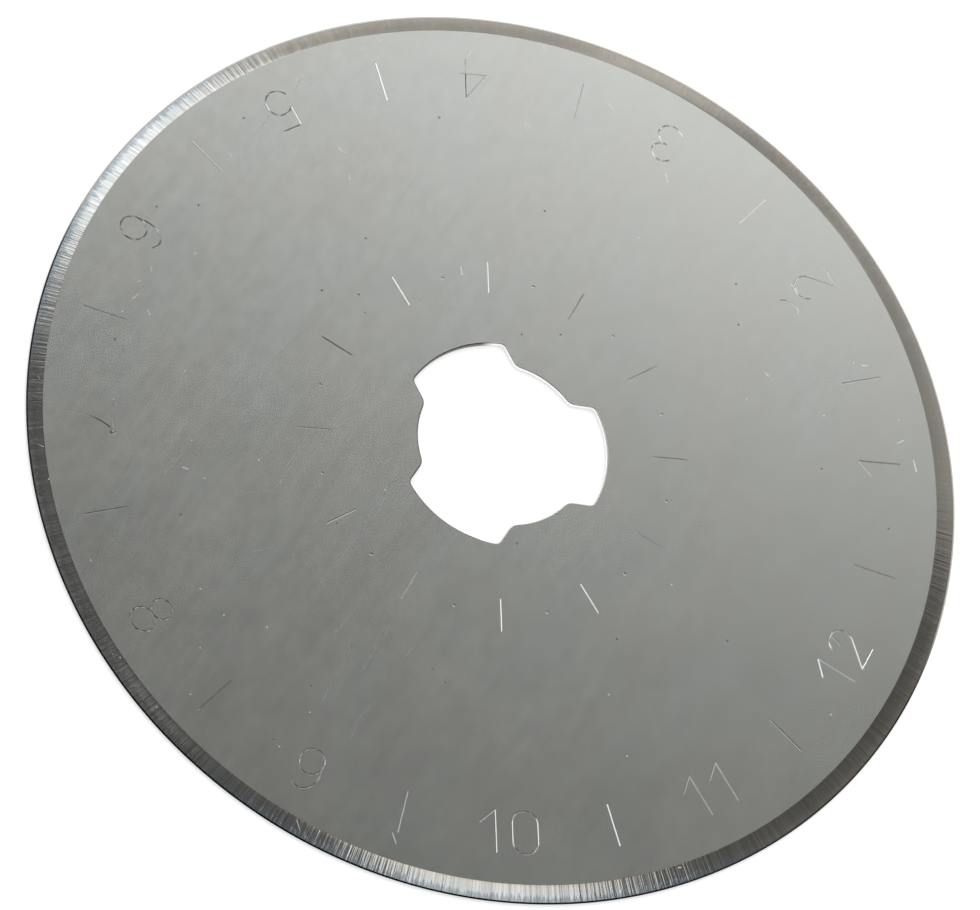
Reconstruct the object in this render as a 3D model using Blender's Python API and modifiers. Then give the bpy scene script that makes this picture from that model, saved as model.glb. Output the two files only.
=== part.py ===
"""Round blade of a rotary cutter: one ground steel disc with a keyed hub hole and an engraved dial.

Metres, +Z up. The blade lies flat, the origin is the middle of its underside, and +Y points through the
middle of one of the three hub tabs.
"""

import math

import bmesh
import bpy
from mathutils import Matrix, Vector

# The disc
DISC_DIAMETER = 0.045
DISC_THICKNESS = 0.0003
DISC_STEPS = 180

# The cutting edge, ground alike on both sides: a long slope, then a narrow honed strip
GRIND_WIDTH = 0.000856
HONE_WIDTH = 0.00008
HONE_RISE = 0.00003
TOP_GRIND_SHIFT = Vector((-0.000095, -0.000063, 0.0))

# The hub hole: a bore with straight-sided slots between its tabs
BORE_DIAMETER = 0.00815
SLOT_COUNT = 3
SLOT_DEPTH = 0.001025
SLOT_REACH_DIAMETER = BORE_DIAMETER + 2 * SLOT_DEPTH
SLOT_WIDTH = 0.005
TAB_CORNER_RADIUS = 0.6 * SLOT_DEPTH
SLOT_CORNER_RADIUS = 0.3 * SLOT_DEPTH
FIRST_SLOT_ANGLE = math.radians(30.0)
HOLE_EDGE_BREAK = 0.00002

# The engraving: vee grooves, on a dial that was struck a little off the disc's middle
GROOVE_WIDTH = 0.00011
GROOVE_DEPTH = 0.00003
DIAL_SHIFT = Vector((-0.00031, -0.00027, 0.0))
DIAL_COUNT = 12
DIAL_START_ANGLE = math.radians(3.6)

# Numbers read from the middle of the disc, with their feet towards the cutting edge
NUMBER_MARGIN = 0.0015
DIGIT_HEIGHT = 0.00205
DIGIT_WIDTH = 0.0012
DIGIT_PITCH = 0.0015
ONE_DIGIT_SHIFT = 0.00035

# Ticks between the numbers, and an inner ring round the hub hole: a stroke in line with each number and a
# dot in line with each tick
TICK_LENGTH = 0.00203
INNER_RING_MARGIN = 0.0027
INNER_STROKE_LENGTH = 0.0016
DOT_DIAMETER = 0.00016
DOT_SIDES = 8

# How finely round stretches are drawn
WIDE_ARC_STEP = math.radians(5.0)
FILLET_STEP = math.radians(15.0)
DIGIT_ARC_STEP = math.radians(20.0)
DIGIT_CURVE_STEPS = 6
STEP_ROUNDING = 1e-6

# Cutters run this far past the faces that they cut
CUTTER_OVERRUN = 0.0005
WELD_DISTANCE = 1e-7

STEEL_COLOUR = (0.52, 0.53, 0.51, 1.0)
STEEL_ROUGHNESS = 0.32
STEEL_METALLIC = 1.0
SMOOTH_LIMIT = math.radians(6.0)


def clear_scene():
    for obj in list(bpy.data.objects):
        bpy.data.objects.remove(obj, do_unlink=True)


def new_collection(name, parent):
    collection = bpy.data.collections.new(name)
    parent.children.link(collection)
    return collection


def steel_material():
    material = bpy.data.materials.new("ground_steel")
    material.use_nodes = True
    shader = material.node_tree.nodes["Principled BSDF"]
    shader.inputs["Base Color"].default_value = STEEL_COLOUR
    shader.inputs["Roughness"].default_value = STEEL_ROUGHNESS
    shader.inputs["Metallic"].default_value = STEEL_METALLIC
    material.diffuse_color = STEEL_COLOUR
    return material


def arc(centre, radii, start, end, step):
    """Points of an elliptical arc from the angle start to the angle end, both kept."""
    count = max(1, math.ceil(abs(end - start) / step - STEP_ROUNDING))
    angles = [start + (end - start) * i / count for i in range(count + 1)]
    return [
        (centre[0] + radii[0] * math.cos(a), centre[1] + radii[1] * math.sin(a))
        for a in angles
    ]


def turned(points, angle):
    """Plane points turned about the origin."""
    cosine = math.cos(angle)
    sine = math.sin(angle)
    return [(x * cosine - y * sine, x * sine + y * cosine) for x, y in points]


def as_mesh_object(curve_object, collection):
    """A closed mesh in the place of a curve, which is removed."""
    bpy.context.view_layer.update()
    graph = bpy.context.evaluated_depsgraph_get()
    mesh = bpy.data.meshes.new_from_object(curve_object.evaluated_get(graph))
    solid = bpy.data.objects.new(curve_object.name + "_solid", mesh)
    solid.matrix_world = curve_object.matrix_world
    collection.objects.link(solid)
    bpy.data.objects.remove(curve_object, do_unlink=True)
    shape = bmesh.new()
    shape.from_mesh(mesh)
    bmesh.ops.remove_doubles(shape, verts=shape.verts, dist=WELD_DISTANCE)
    bmesh.ops.recalc_face_normals(shape, faces=shape.faces)
    shape.to_mesh(mesh)
    shape.free()
    return solid


def poly_curve(name, points, closed, collection, dimensions):
    curve = bpy.data.curves.new(name, "CURVE")
    curve.dimensions = dimensions
    spline = curve.splines.new("POLY")
    spline.points.add(len(points) - 1)
    for target, (x, y) in zip(spline.points, points):
        target.co = (x, y, 0.0, 1.0)
    spline.use_cyclic_u = closed
    curve_object = bpy.data.objects.new(name, curve)
    collection.objects.link(curve_object)
    return curve_object


def as_cutter(cutter):
    cutter.hide_render = True
    cutter.display_type = "WIRE"
    return cutter


def edge_profile():
    """Half section of the disc, from the middle of the top face round the edge to the middle below."""
    outer = DISC_DIAMETER / 2
    middle = DISC_THICKNESS / 2
    upper = [
        (0.0, DISC_THICKNESS),
        (outer - GRIND_WIDTH, DISC_THICKNESS),
        (outer - HONE_WIDTH, middle + HONE_RISE),
    ]
    lower = [(radius, DISC_THICKNESS - z) for radius, z in reversed(upper)]
    return upper + [(outer, middle)] + lower


def turn_disc(collection):
    """The disc, turned from its half section, with each flat made one face."""
    shape = bmesh.new()
    points = [shape.verts.new((radius, 0.0, z)) for radius, z in edge_profile()]
    for first, second in zip(points, points[1:]):
        shape.edges.new((first, second))
    profile = bpy.data.meshes.new("disc_profile")
    shape.to_mesh(profile)
    shape.free()
    turning = bpy.data.objects.new("disc_turning", profile)
    collection.objects.link(turning)
    screw = turning.modifiers.new("turn", "SCREW")
    screw.steps = DISC_STEPS
    screw.render_steps = DISC_STEPS
    screw.use_merge_vertices = True
    screw.merge_threshold = WELD_DISTANCE
    bpy.context.view_layer.update()
    graph = bpy.context.evaluated_depsgraph_get()
    mesh = bpy.data.meshes.new_from_object(turning.evaluated_get(graph))
    mesh.name = "rotary_blade"
    bpy.data.objects.remove(turning, do_unlink=True)
    shape = bmesh.new()
    shape.from_mesh(mesh)
    for side in (1.0, -1.0):
        flats = [face for face in shape.faces if face.normal.z * side > math.cos(SMOOTH_LIMIT / 2)]
        bmesh.ops.dissolve_faces(shape, faces=flats, use_verts=False)
    shift_top_grind(shape)
    shape.to_mesh(mesh)
    shape.free()
    blade = bpy.data.objects.new("rotary_blade", mesh)
    collection.objects.link(blade)
    return blade


def shift_top_grind(shape):
    """Moves the top flat's rim off centre, so that the ground band is wider on one side."""
    rim = [v for v in shape.verts if v.co.z > DISC_THICKNESS - WELD_DISTANCE]
    bmesh.ops.translate(shape, verts=rim, vec=TOP_GRIND_SHIFT)


def slot_outline():
    """Half of one slot and half of the tab beside it, from the slot's middle line (+X) to the tab's."""
    bore = BORE_DIAMETER / 2
    reach = SLOT_REACH_DIAMETER / 2
    half_width = SLOT_WIDTH / 2
    corner_y = half_width - SLOT_CORNER_RADIUS
    corner_x = math.sqrt((reach - SLOT_CORNER_RADIUS) ** 2 - corner_y**2)
    corner_angle = math.atan2(corner_y, corner_x)
    tab_y = half_width + TAB_CORNER_RADIUS
    tab_x = math.sqrt((bore + TAB_CORNER_RADIUS) ** 2 - tab_y**2)
    tab_angle = math.atan2(tab_y, tab_x)
    quarter = math.pi / 2
    points = arc((0.0, 0.0), (reach, reach), 0.0, corner_angle, WIDE_ARC_STEP)
    points += arc(
        (corner_x, corner_y), (SLOT_CORNER_RADIUS, SLOT_CORNER_RADIUS), corner_angle, quarter, FILLET_STEP
    )[1:]
    points += arc(
        (tab_x, tab_y), (TAB_CORNER_RADIUS, TAB_CORNER_RADIUS), -quarter, tab_angle - math.pi, FILLET_STEP
    )
    points += arc((0.0, 0.0), (bore, bore), tab_angle, math.pi / SLOT_COUNT, WIDE_ARC_STEP)[1:]
    return points


def hub_hole_outline():
    """The whole hole, counter-clockwise, with each point once."""
    half = slot_outline()
    mirrored = [(x, -y) for x, y in reversed(half)]
    one_slot = mirrored[1:] + half[1:]
    outline = []
    for index in range(SLOT_COUNT):
        outline += turned(one_slot, FIRST_SLOT_ANGLE + math.tau * index / SLOT_COUNT)
    return outline


def hub_cutters(collection):
    """The hole itself, and a lens-shaped cutter at each face that breaks the hole's sharp edge."""
    outline = hub_hole_outline()
    hole_curve = poly_curve("hub_hole", outline, True, collection, "2D")
    hole_curve.data.fill_mode = "BOTH"
    hole_curve.data.extrude = DISC_THICKNESS / 2 + CUTTER_OVERRUN
    hole_curve.location.z = DISC_THICKNESS / 2
    cutters = [as_cutter(as_mesh_object(hole_curve, collection))]
    for name, height in (("top_edge_break", DISC_THICKNESS), ("bottom_edge_break", 0.0)):
        lens = poly_curve(name, outline, True, collection, "2D")
        lens.data.fill_mode = "BOTH"
        lens.data.bevel_depth = HOLE_EDGE_BREAK
        lens.data.bevel_resolution = 0
        lens.location.z = height
        cutters.append(as_cutter(as_mesh_object(lens, collection)))
    return cutters


def bow(x, y, rx, ry, start, end):
    """An arc of a numeral, from the angle start to the angle end in degrees."""
    return arc((x, y), (rx, ry), math.radians(start), math.radians(end), DIGIT_ARC_STEP)


def ring(x, y, rx, ry):
    """A whole round stroke, with its first point left out at the end."""
    return bow(x, y, rx, ry, 0, 360)[:-1], True


def line(*points):
    return list(points), False


def zero(w, h):
    half = w / 2
    return [(bow(half, h - half, half, half, 0, 180) + bow(half, half, half, half, 180, 360), True)]


def one(w, h):
    stem = 0.6 * w
    return [line((0.0, 0.7 * h), (stem, h)), line((stem, h), (stem, 0.0))]


def two(w, h):
    hook = bow(0.5 * w, 0.71 * h, 0.5 * w, 0.29 * h, 165, -35)
    return [line(*hook, (0.0, 0.0)), line((0.0, 0.0), (w, 0.0))]


def three(w, h):
    upper = bow(0.46 * w, 0.77 * h, 0.44 * w, 0.23 * h, 160, -90)
    lower = bow(0.5 * w, 0.27 * h, 0.5 * w, 0.27 * h, 90, -155)
    return [line(*upper), line(*lower)]


def four(w, h):
    stem = 0.85 * w
    bar = 0.37 * h
    return [line((stem, h), (0.0, bar)), line((0.0, bar), (1.1 * w, bar)), line((stem, h), (stem, 0.0))]


def five(w, h):
    corner = (0.12 * w, h)
    bowl = bow(0.48 * w, 0.31 * h, 0.52 * w, 0.31 * h, 140, -155)
    return [line((0.9 * w, h), corner), line(corner, bowl[0]), line(*bowl)]


def six(w, h):
    tail = bow(0.52 * w, 0.56 * h, 0.54 * w, 0.44 * h, 55, 205)
    return [ring(0.52 * w, 0.31 * h, 0.48 * w, 0.31 * h), line(*tail)]


def seven(w, h):
    start = Vector((1.08 * w, h))
    pull = Vector((0.55 * w, 0.8 * h))
    end = Vector((0.35 * w, 0.0))
    stem = []
    for index in range(DIGIT_CURVE_STEPS + 1):
        t = index / DIGIT_CURVE_STEPS
        stem.append(tuple(start * (1 - t) ** 2 + pull * 2 * t * (1 - t) + end * t**2))
    return [line((0.0, h), stem[0]), line(*stem)]


def eight(w, h):
    return [ring(0.48 * w, 0.77 * h, 0.42 * w, 0.23 * h), ring(0.5 * w, 0.27 * h, 0.5 * w, 0.27 * h)]


def nine(w, h):
    return [([(w - x, h - y) for x, y in points], closed) for points, closed in six(w, h)]


# Each numeral gives its strokes as (points, closed) in a cell with its foot on y = 0
NUMERALS = (zero, one, two, three, four, five, six, seven, eight, nine)


def number_strokes(number):
    """The strokes of a whole number, centred on x = 0 apart from the shift of a single digit."""
    digits = [int(character) for character in str(number)]
    strokes = []
    for index, digit in enumerate(digits):
        for points, closed in NUMERALS[digit](DIGIT_WIDTH, DIGIT_HEIGHT):
            strokes.append(([(x + index * DIGIT_PITCH, y) for x, y in points], closed))
    across = [x for points, closed in strokes for x, y in points]
    offset = -(min(across) + max(across)) / 2
    if len(digits) == 1:
        offset += ONE_DIGIT_SHIFT
    return [([(x + offset, y) for x, y in points], closed) for points, closed in strokes]


def dial_place(angle):
    """A frame at the dial's middle on the top face, whose -Y points out along this angle."""
    turn = Matrix.Rotation(angle + math.pi / 2, 4, "Z")
    return Matrix.Translation(DIAL_SHIFT + Vector((0.0, 0.0, DISC_THICKNESS))) @ turn


def groove_cutter(name, points, closed, place, collection):
    """A stroke of square bar on its corner, flattened to the groove's depth, lying along the top face."""
    bar = poly_curve(name, points, closed, collection, "3D")
    bar.data.bevel_depth = GROOVE_WIDTH / 2
    bar.data.bevel_resolution = 0
    bar.data.use_fill_caps = True
    solid = as_mesh_object(bar, collection)
    flatten = Matrix.Scale(GROOVE_DEPTH / (GROOVE_WIDTH / 2), 4, (0.0, 0.0, 1.0))
    solid.data.transform(place @ flatten)
    return as_cutter(solid)


def dot_cutter(name, place, collection):
    """A double cone, half of it under the top face."""
    shape = bmesh.new()
    for side in (1.0, -1.0):
        bmesh.ops.create_cone(
            shape,
            cap_ends=False,
            segments=DOT_SIDES,
            radius1=DOT_DIAMETER / 2,
            radius2=0.0,
            depth=GROOVE_DEPTH,
            matrix=Matrix.Scale(side, 4, (0.0, 0.0, 1.0)) @ Matrix.Translation((0.0, 0.0, GROOVE_DEPTH / 2)),
        )
    bmesh.ops.remove_doubles(shape, verts=shape.verts, dist=WELD_DISTANCE)
    bmesh.ops.recalc_face_normals(shape, faces=shape.faces)
    mesh = bpy.data.meshes.new(name)
    shape.to_mesh(mesh)
    shape.free()
    mesh.transform(place)
    dot = bpy.data.objects.new(name, mesh)
    collection.objects.link(dot)
    return as_cutter(dot)


def engrave_dial(collection):
    """Cutters for the numbers, the ticks between them and the inner ring."""
    foot = DISC_DIAMETER / 2 - GRIND_WIDTH - NUMBER_MARGIN
    ring_start = SLOT_REACH_DIAMETER / 2 + INNER_RING_MARGIN
    tick = [(0.0, -foot), (0.0, TICK_LENGTH - foot)]
    stroke = [(0.0, -ring_start - INNER_STROKE_LENGTH), (0.0, -ring_start)]
    dot_offset = Matrix.Translation((0.0, -ring_start - INNER_STROKE_LENGTH / 2, 0.0))
    for number in range(1, DIAL_COUNT + 1):
        on_number = dial_place(DIAL_START_ANGLE + math.tau * number / DIAL_COUNT)
        on_tick = dial_place(DIAL_START_ANGLE + math.tau * (number + 0.5) / DIAL_COUNT)
        number_place = on_number @ Matrix.Translation((0.0, -foot, 0.0))
        for index, (points, closed) in enumerate(number_strokes(number)):
            groove_cutter(f"number_{number}_{index}", points, closed, number_place, collection)
        groove_cutter(f"tick_{number}", tick, False, on_tick, collection)
        groove_cutter(f"inner_stroke_{number}", stroke, False, on_number, collection)
        dot_cutter(f"inner_dot_{number}", on_tick @ dot_offset, collection)


def cut_with_object(target, cutter):
    boolean = target.modifiers.new(cutter.name, "BOOLEAN")
    boolean.operation = "DIFFERENCE"
    boolean.solver = "EXACT"
    boolean.object = cutter


def cut_with_collection(target, collection):
    boolean = target.modifiers.new(collection.name, "BOOLEAN")
    boolean.operation = "DIFFERENCE"
    boolean.solver = "EXACT"
    boolean.operand_type = "COLLECTION"
    boolean.collection = collection


def build():
    clear_scene()
    scene_root = bpy.context.scene.collection
    parts = new_collection("rotary_blade", scene_root)
    cutters = new_collection("blade_cutters", scene_root)
    engraving = new_collection("dial_engraving", cutters)
    blade = turn_disc(parts)
    for cutter in hub_cutters(cutters):
        cut_with_object(blade, cutter)
    engrave_dial(engraving)
    cut_with_collection(blade, engraving)
    blade.data.materials.append(steel_material())
    blade.data.shade_smooth()
    blade.data.set_sharp_from_angle(angle=SMOOTH_LIMIT)


build()
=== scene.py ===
"""Looks of the round rotary blade: a finer model of the disc, its steel finishes, and the studio round it.

Metres, +Z up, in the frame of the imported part: the blade lies flat on z = 0 with its middle at the origin, and
+Y points through the middle of one hub tab.
"""

import logging
import math
from dataclasses import dataclass, field
from enum import Enum
from typing import Callable, Iterable, Sequence, Union

import bmesh
import bpy
from mathutils import Matrix, Vector


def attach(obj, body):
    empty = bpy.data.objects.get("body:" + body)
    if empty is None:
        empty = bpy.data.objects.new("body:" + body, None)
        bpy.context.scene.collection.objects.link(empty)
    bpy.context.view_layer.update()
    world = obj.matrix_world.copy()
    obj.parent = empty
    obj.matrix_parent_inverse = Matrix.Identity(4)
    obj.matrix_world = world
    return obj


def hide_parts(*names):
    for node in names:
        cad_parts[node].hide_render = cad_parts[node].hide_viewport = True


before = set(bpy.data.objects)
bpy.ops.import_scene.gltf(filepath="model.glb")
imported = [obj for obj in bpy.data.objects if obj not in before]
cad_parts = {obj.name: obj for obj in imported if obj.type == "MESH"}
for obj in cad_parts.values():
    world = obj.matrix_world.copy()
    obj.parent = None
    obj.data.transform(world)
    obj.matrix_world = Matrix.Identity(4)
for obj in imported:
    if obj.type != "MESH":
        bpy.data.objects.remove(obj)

logging.basicConfig(level=logging.INFO, format="%(name)s: %(message)s")
log = logging.getLogger("rotary_blade")

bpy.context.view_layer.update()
CAD_NODE = "rotary_blade"
BODY = "root"

MM = 0.001
WELD = 1e-7
ANGLE_SLACK = 1e-6
UP = Vector((0.0, 0.0, 1.0))

Colour = tuple[float, float, float]
Point = tuple[float, float]
Stroke = tuple[list[Point], bool]


class Finish(Enum):
    """The steel finishes, each with its place in the blade's list of materials."""

    ROLLED = 0
    GROUND = 1
    HONED = 2
    SHEARED = 3
    STRUCK = 4
    NICKED = 5
    PITTED = 6
    SCRATCHED = 7


class Side(Enum):
    """The two sides of the blade."""

    TOP = 1
    UNDER = -1


class Signal:
    """A number that varies over a surface, joined by Python's arithmetic."""

    def __init__(self, graph: "Graph", socket: bpy.types.NodeSocket) -> None:
        """Wraps one output socket of a graph."""
        self.graph = graph
        self.socket = socket

    def __add__(self, other: "Number") -> "Signal":
        """The sum."""
        return self.graph.number("ADD", self, other)

    __radd__ = __add__

    def __sub__(self, other: "Number") -> "Signal":
        """The difference."""
        return self.graph.number("SUBTRACT", self, other)

    def __rsub__(self, other: "Number") -> "Signal":
        """The difference from a plain number."""
        return self.graph.number("SUBTRACT", other, self)

    def __mul__(self, other: "Number") -> "Signal":
        """The product."""
        return self.graph.number("MULTIPLY", self, other)

    __rmul__ = __mul__

    def __truediv__(self, other: "Number") -> "Signal":
        """The quotient."""
        return self.graph.number("DIVIDE", self, other)

    def __pow__(self, other: "Number") -> "Signal":
        """The power."""
        return self.graph.number("POWER", self, other)

    def capped(self, low: "Number" = 0.0, high: "Number" = 1.0) -> "Signal":
        """This number kept between two others."""
        return self.graph.number("MINIMUM", self.graph.number("MAXIMUM", self, low), high)

    def rise(self, low: float, high: float) -> "Signal":
        """A smooth step from 0 at low to 1 at high."""
        settings = {"interpolation_type": "SMOOTHSTEP"}
        values = {"Value": self, "From Min": low, "From Max": high}
        return Signal(self.graph, self.graph.node("ShaderNodeMapRange", settings, values).outputs["Result"])


Number = Union[Signal, float]
Feed = Union[Signal, bpy.types.NodeSocket, float, Sequence[float]]


class Graph:
    """Builds the nodes of one material or world."""

    def __init__(self, owner: Union[bpy.types.Material, bpy.types.World]) -> None:
        """Empties the owner's node tree and starts on it."""
        owner.use_nodes = True
        self.tree = owner.node_tree
        self.tree.nodes.clear()

    def node(self, kind: str, settings: dict[str, object], values: dict[Union[str, int], Feed]) -> bpy.types.Node:
        """Adds one node.

        Args:
            kind: The node's type.
            settings: The node's own settings, which are set before its sockets.
            values: A number, colour or link for each named or numbered socket.

        Returns:
            The node.
        """
        node = self.tree.nodes.new(kind)
        for name, value in settings.items():
            setattr(node, name, value)
        for key, value in values.items():
            target = node.inputs[key]
            if isinstance(value, Signal):
                value = value.socket
            if isinstance(value, bpy.types.NodeSocket):
                self.tree.links.new(value, target)
            else:
                target.default_value = value
        return node

    def number(self, operation: str, *terms: Number) -> Signal:
        """A Math node over numbers and signals."""
        node = self.node("ShaderNodeMath", {"operation": operation}, dict(enumerate(terms)))
        return Signal(self, node.outputs[0])

    def vector(self, operation: str, *terms: Feed) -> bpy.types.NodeSocket:
        """A Vector Math node's vector output."""
        node = self.node("ShaderNodeVectorMath", {"operation": operation}, dict(enumerate(terms)))
        return node.outputs["Vector"]

    def place(self) -> bpy.types.NodeSocket:
        """The place on the piece, in millimetres."""
        coordinates = self.node("ShaderNodeTexCoord", {}, {}).outputs["Object"]
        return self.vector("MULTIPLY", coordinates, (1 / MM, 1 / MM, 1 / MM))

    def split(self, vector: bpy.types.NodeSocket) -> tuple[Signal, Signal, Signal]:
        """The three parts of a vector."""
        node = self.node("ShaderNodeSeparateXYZ", {}, {0: vector})
        return tuple(Signal(self, output) for output in node.outputs)

    def joined(self, x: Number, y: Number, z: Number) -> bpy.types.NodeSocket:
        """A vector of three parts."""
        return self.node("ShaderNodeCombineXYZ", {}, {0: x, 1: y, 2: z}).outputs[0]

    def noise(self, where: Feed, stretch: Sequence[float], detail: float = 2.0, rough: float = 0.5) -> Signal:
        """Smooth noise from 0 to 1.

        Args:
            where: The place that it is read at.
            stretch: Waves per unit of length along each axis.
            detail: How many finer layers it has.
            rough: How strong the finer layers are.

        Returns:
            The noise.
        """
        scaled = self.vector("MULTIPLY", where, stretch)
        values = {"Vector": scaled, "Scale": 1.0, "Detail": detail, "Roughness": rough}
        return Signal(self, self.node("ShaderNodeTexNoise", {}, values).outputs["Fac"])

    def blend(self, share: Number, first: Feed, second: Feed, mode: str = "MIX") -> bpy.types.NodeSocket:
        """A Mix node over two colours."""
        values = {"Factor": share, 6: opaque(first), 7: opaque(second)}
        node = self.node("ShaderNodeMix", {"data_type": "RGBA", "blend_type": mode, "clamp_factor": True}, values)
        return node.outputs[2]

    def scaled(self, colour: Feed, level: Number) -> bpy.types.NodeSocket:
        """A colour times a number."""
        node = self.node("ShaderNodeVectorMath", {"operation": "SCALE"}, {0: colour, "Scale": level})
        return node.outputs["Vector"]

    def relief(self, height: Signal, depth: float) -> bpy.types.NodeSocket:
        """The normal of a fine relief.

        Args:
            height: The relief, from 0 to 1.
            depth: How deep it is, in metres.

        Returns:
            The normal.
        """
        values = {"Strength": 1.0, "Distance": depth, "Height": height}
        return self.node("ShaderNodeBump", {}, values).outputs["Normal"]

    def show(self, shader: bpy.types.Node, kind: str = "ShaderNodeOutputMaterial") -> None:
        """Joins a shader to the output."""
        self.node(kind, {}, {"Surface": shader.outputs[0]})


def opaque(colour: Feed) -> Feed:
    """A plain colour with its alpha, or a link as it is."""
    return (*colour, 1.0) if isinstance(colour, tuple) and len(colour) == 3 else colour


@dataclass(frozen=True)
class RolledSteel:
    """The flat faces: satin sheet, faintly clouded, with hairlines along Y and short marks on one side."""

    warm: Colour = (0.447, 0.449, 0.413)
    cool: Colour = (0.440, 0.454, 0.419)
    roughness: float = 0.26
    scuffed_side: Point = (-0.64, -0.77)
    reach: float = 20.0

    def material(self) -> bpy.types.Material:
        """Builds the material."""
        material = bpy.data.materials.new("rolled_steel")
        graph = Graph(material)
        place = graph.place()
        streaks = graph.noise(place, (2.0, 0.25, 1.0), 4.0, 0.65)
        hairs = graph.noise(place, (7.0, 0.30, 1.0), 1.0, 0.5).rise(0.64, 0.74)
        grain = graph.noise(place, (1.6, 1.1, 1.0), 4.0, 0.7)
        clouds = graph.noise(place, (0.30, 0.22, 0.3), 3.0, 0.55)
        tint = graph.noise(place, (0.20, 0.13, 0.2), 3.0, 0.55)
        x, y, _ = graph.split(place)
        scuffed = (x * self.scuffed_side[0] + y * self.scuffed_side[1]).rise(-self.reach, self.reach)
        marks = (0.07 * (streaks - 0.5) + 0.16 * (grain - 0.5)) * (0.6 + 0.9 * scuffed)
        level = 1.0 + 0.08 * (clouds - 0.5) + marks - 0.02 * hairs
        values = {
            "Base Color": graph.scaled(graph.blend(tint.rise(0.38, 0.62), self.warm, self.cool), level),
            "Metallic": 1.0,
            "Roughness": self.roughness + 0.04 * (clouds - 0.5) + 0.03 * (streaks - 0.5),
        }
        graph.show(graph.node("ShaderNodeBsdfPrincipled", {}, values))
        return material


@dataclass(frozen=True)
class GroundSteel:
    """The ground band: furrows across it, and an outer part whose colour is painted by direction: brown and blue
    tints that stand in for coloured reflections, and a darker grey that is painted shade.
    """

    inner_radius: float
    outer_radius: float
    pale: Colour = (0.42, 0.40, 0.35)
    steel: Colour = (0.430, 0.432, 0.410)
    tan: Colour = (0.440, 0.427, 0.385)
    fleck: Colour = (0.56, 0.48, 0.36)
    brown: Colour = (0.53, 0.50, 0.45)
    blue: Colour = (0.41, 0.45, 0.47)
    grey: Colour = (0.27, 0.275, 0.255)
    blue_side: Point = (-0.42, -0.91)
    grey_side: Point = (-0.57, -0.82)
    roughness: float = 0.12
    calm_side: Point = (0.09, 0.996)
    furrow_depth: float = 1.6e-5

    def material(self) -> bpy.types.Material:
        """Builds the material."""
        material = bpy.data.materials.new("ground_band")
        graph = Graph(material)
        place = graph.place()
        x, y, z = graph.split(place)
        radius = graph.number("SQRT", x * x + y * y)
        across = (radius - self.inner_radius / MM) / ((self.outer_radius - self.inner_radius) / MM)
        round_x, round_y, _ = graph.split(graph.vector("NORMALIZE", graph.joined(x, y, 0.0)))
        reach = self.outer_radius / MM
        along = graph.joined(round_x * reach, round_y * reach, radius + 10.0 * z)
        furrows = graph.noise(along, (6.0, 6.0, 0.2), 1.0, 0.5)
        fine = graph.noise(along, (13.0, 13.0, 0.35), 1.0, 0.5)
        teeth = graph.noise(along, (6.0, 6.0, 0.0), 2.0, 0.6)
        patches = graph.noise(along, (0.8, 0.8, 0.3), 2.0, 0.5)
        coarse = (across + 1.1 * (teeth - 0.5)).rise(0.55, 0.80)
        # Painted reflection and shade by direction: the outer part is blue toward one side and brown elsewhere,
        # darker grey painted shade covers a narrow sector on the blue side, and the middle turns from tan to
        # steel the same way.
        bluish = (round_x * self.blue_side[0] + round_y * self.blue_side[1]).rise(-0.15, 0.25)
        painted_shade_share = (round_x * self.grey_side[0] + round_y * self.grey_side[1]).rise(0.80, 0.93)
        outer = graph.blend(painted_shade_share, graph.blend(bluish, self.brown, self.blue), self.grey)
        middle = graph.blend(bluish, self.tan, self.steel)
        tinted = graph.blend(across.rise(0.05, 0.20), self.pale, middle)
        tinted = graph.blend(across.rise(0.25, 0.85), tinted, outer)
        calm = (round_x * self.calm_side[0] + round_y * self.calm_side[1]).rise(0.30, 0.75)
        flecks = graph.noise(along, (5.0, 5.0, 3.0), 3.0, 0.6).rise(0.50, 0.66) * (1.0 - bluish)
        tinted = graph.blend(0.6 * flecks * across.rise(0.15, 0.40), tinted, self.fleck)
        ridges = (0.5 * (furrows - 0.5) + 0.8 * (fine - 0.5)) * (0.5 + 0.5 * bluish) * (1.0 - 0.8 * calm)
        level = 1.0 + ridges + 0.18 * (patches - 0.5)
        height = (0.5 * furrows + 0.5 * fine) * (0.45 + 0.15 * coarse * bluish) * (1.0 - 0.7 * calm)
        values = {
            "Base Color": graph.scaled(tinted, level * (1.0 - 0.2 * coarse * bluish)),
            "Metallic": 1.0,
            "Roughness": self.roughness + 0.06 * coarse,
            "Normal": graph.relief(height, self.furrow_depth),
        }
        graph.show(graph.node("ShaderNodeBsdfPrincipled", {}, values))
        return material


@dataclass(frozen=True)
class HonedSteel:
    """The honed strip at the cutting edge: a pale painted highlight on one side of the blade and nearly black
    painted shade on the other.
    """

    bright_side: Point = (-0.17, 0.985)
    bright: Colour = (0.85, 0.83, 0.78)
    dark: Colour = (0.12, 0.13, 0.16)
    roughness: float = 0.15
    bright_roughness: float = 0.35

    def material(self) -> bpy.types.Material:
        """Builds the material."""
        material = bpy.data.materials.new("honed_edge")
        graph = Graph(material)
        x, y, _ = graph.split(graph.place())
        round_x, round_y, _ = graph.split(graph.vector("NORMALIZE", graph.joined(x, y, 0.0)))
        # Painted highlight toward one side of the blade, painted shade toward the other.
        share = (round_x * self.bright_side[0] + round_y * self.bright_side[1]).rise(-0.12, 0.12)
        values = {
            "Base Color": graph.blend(share, self.dark, self.bright),
            "Metallic": 1.0,
            "Roughness": self.roughness + self.bright_roughness * share,
        }
        graph.show(graph.node("ShaderNodeBsdfPrincipled", {}, values))
        return material


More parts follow.
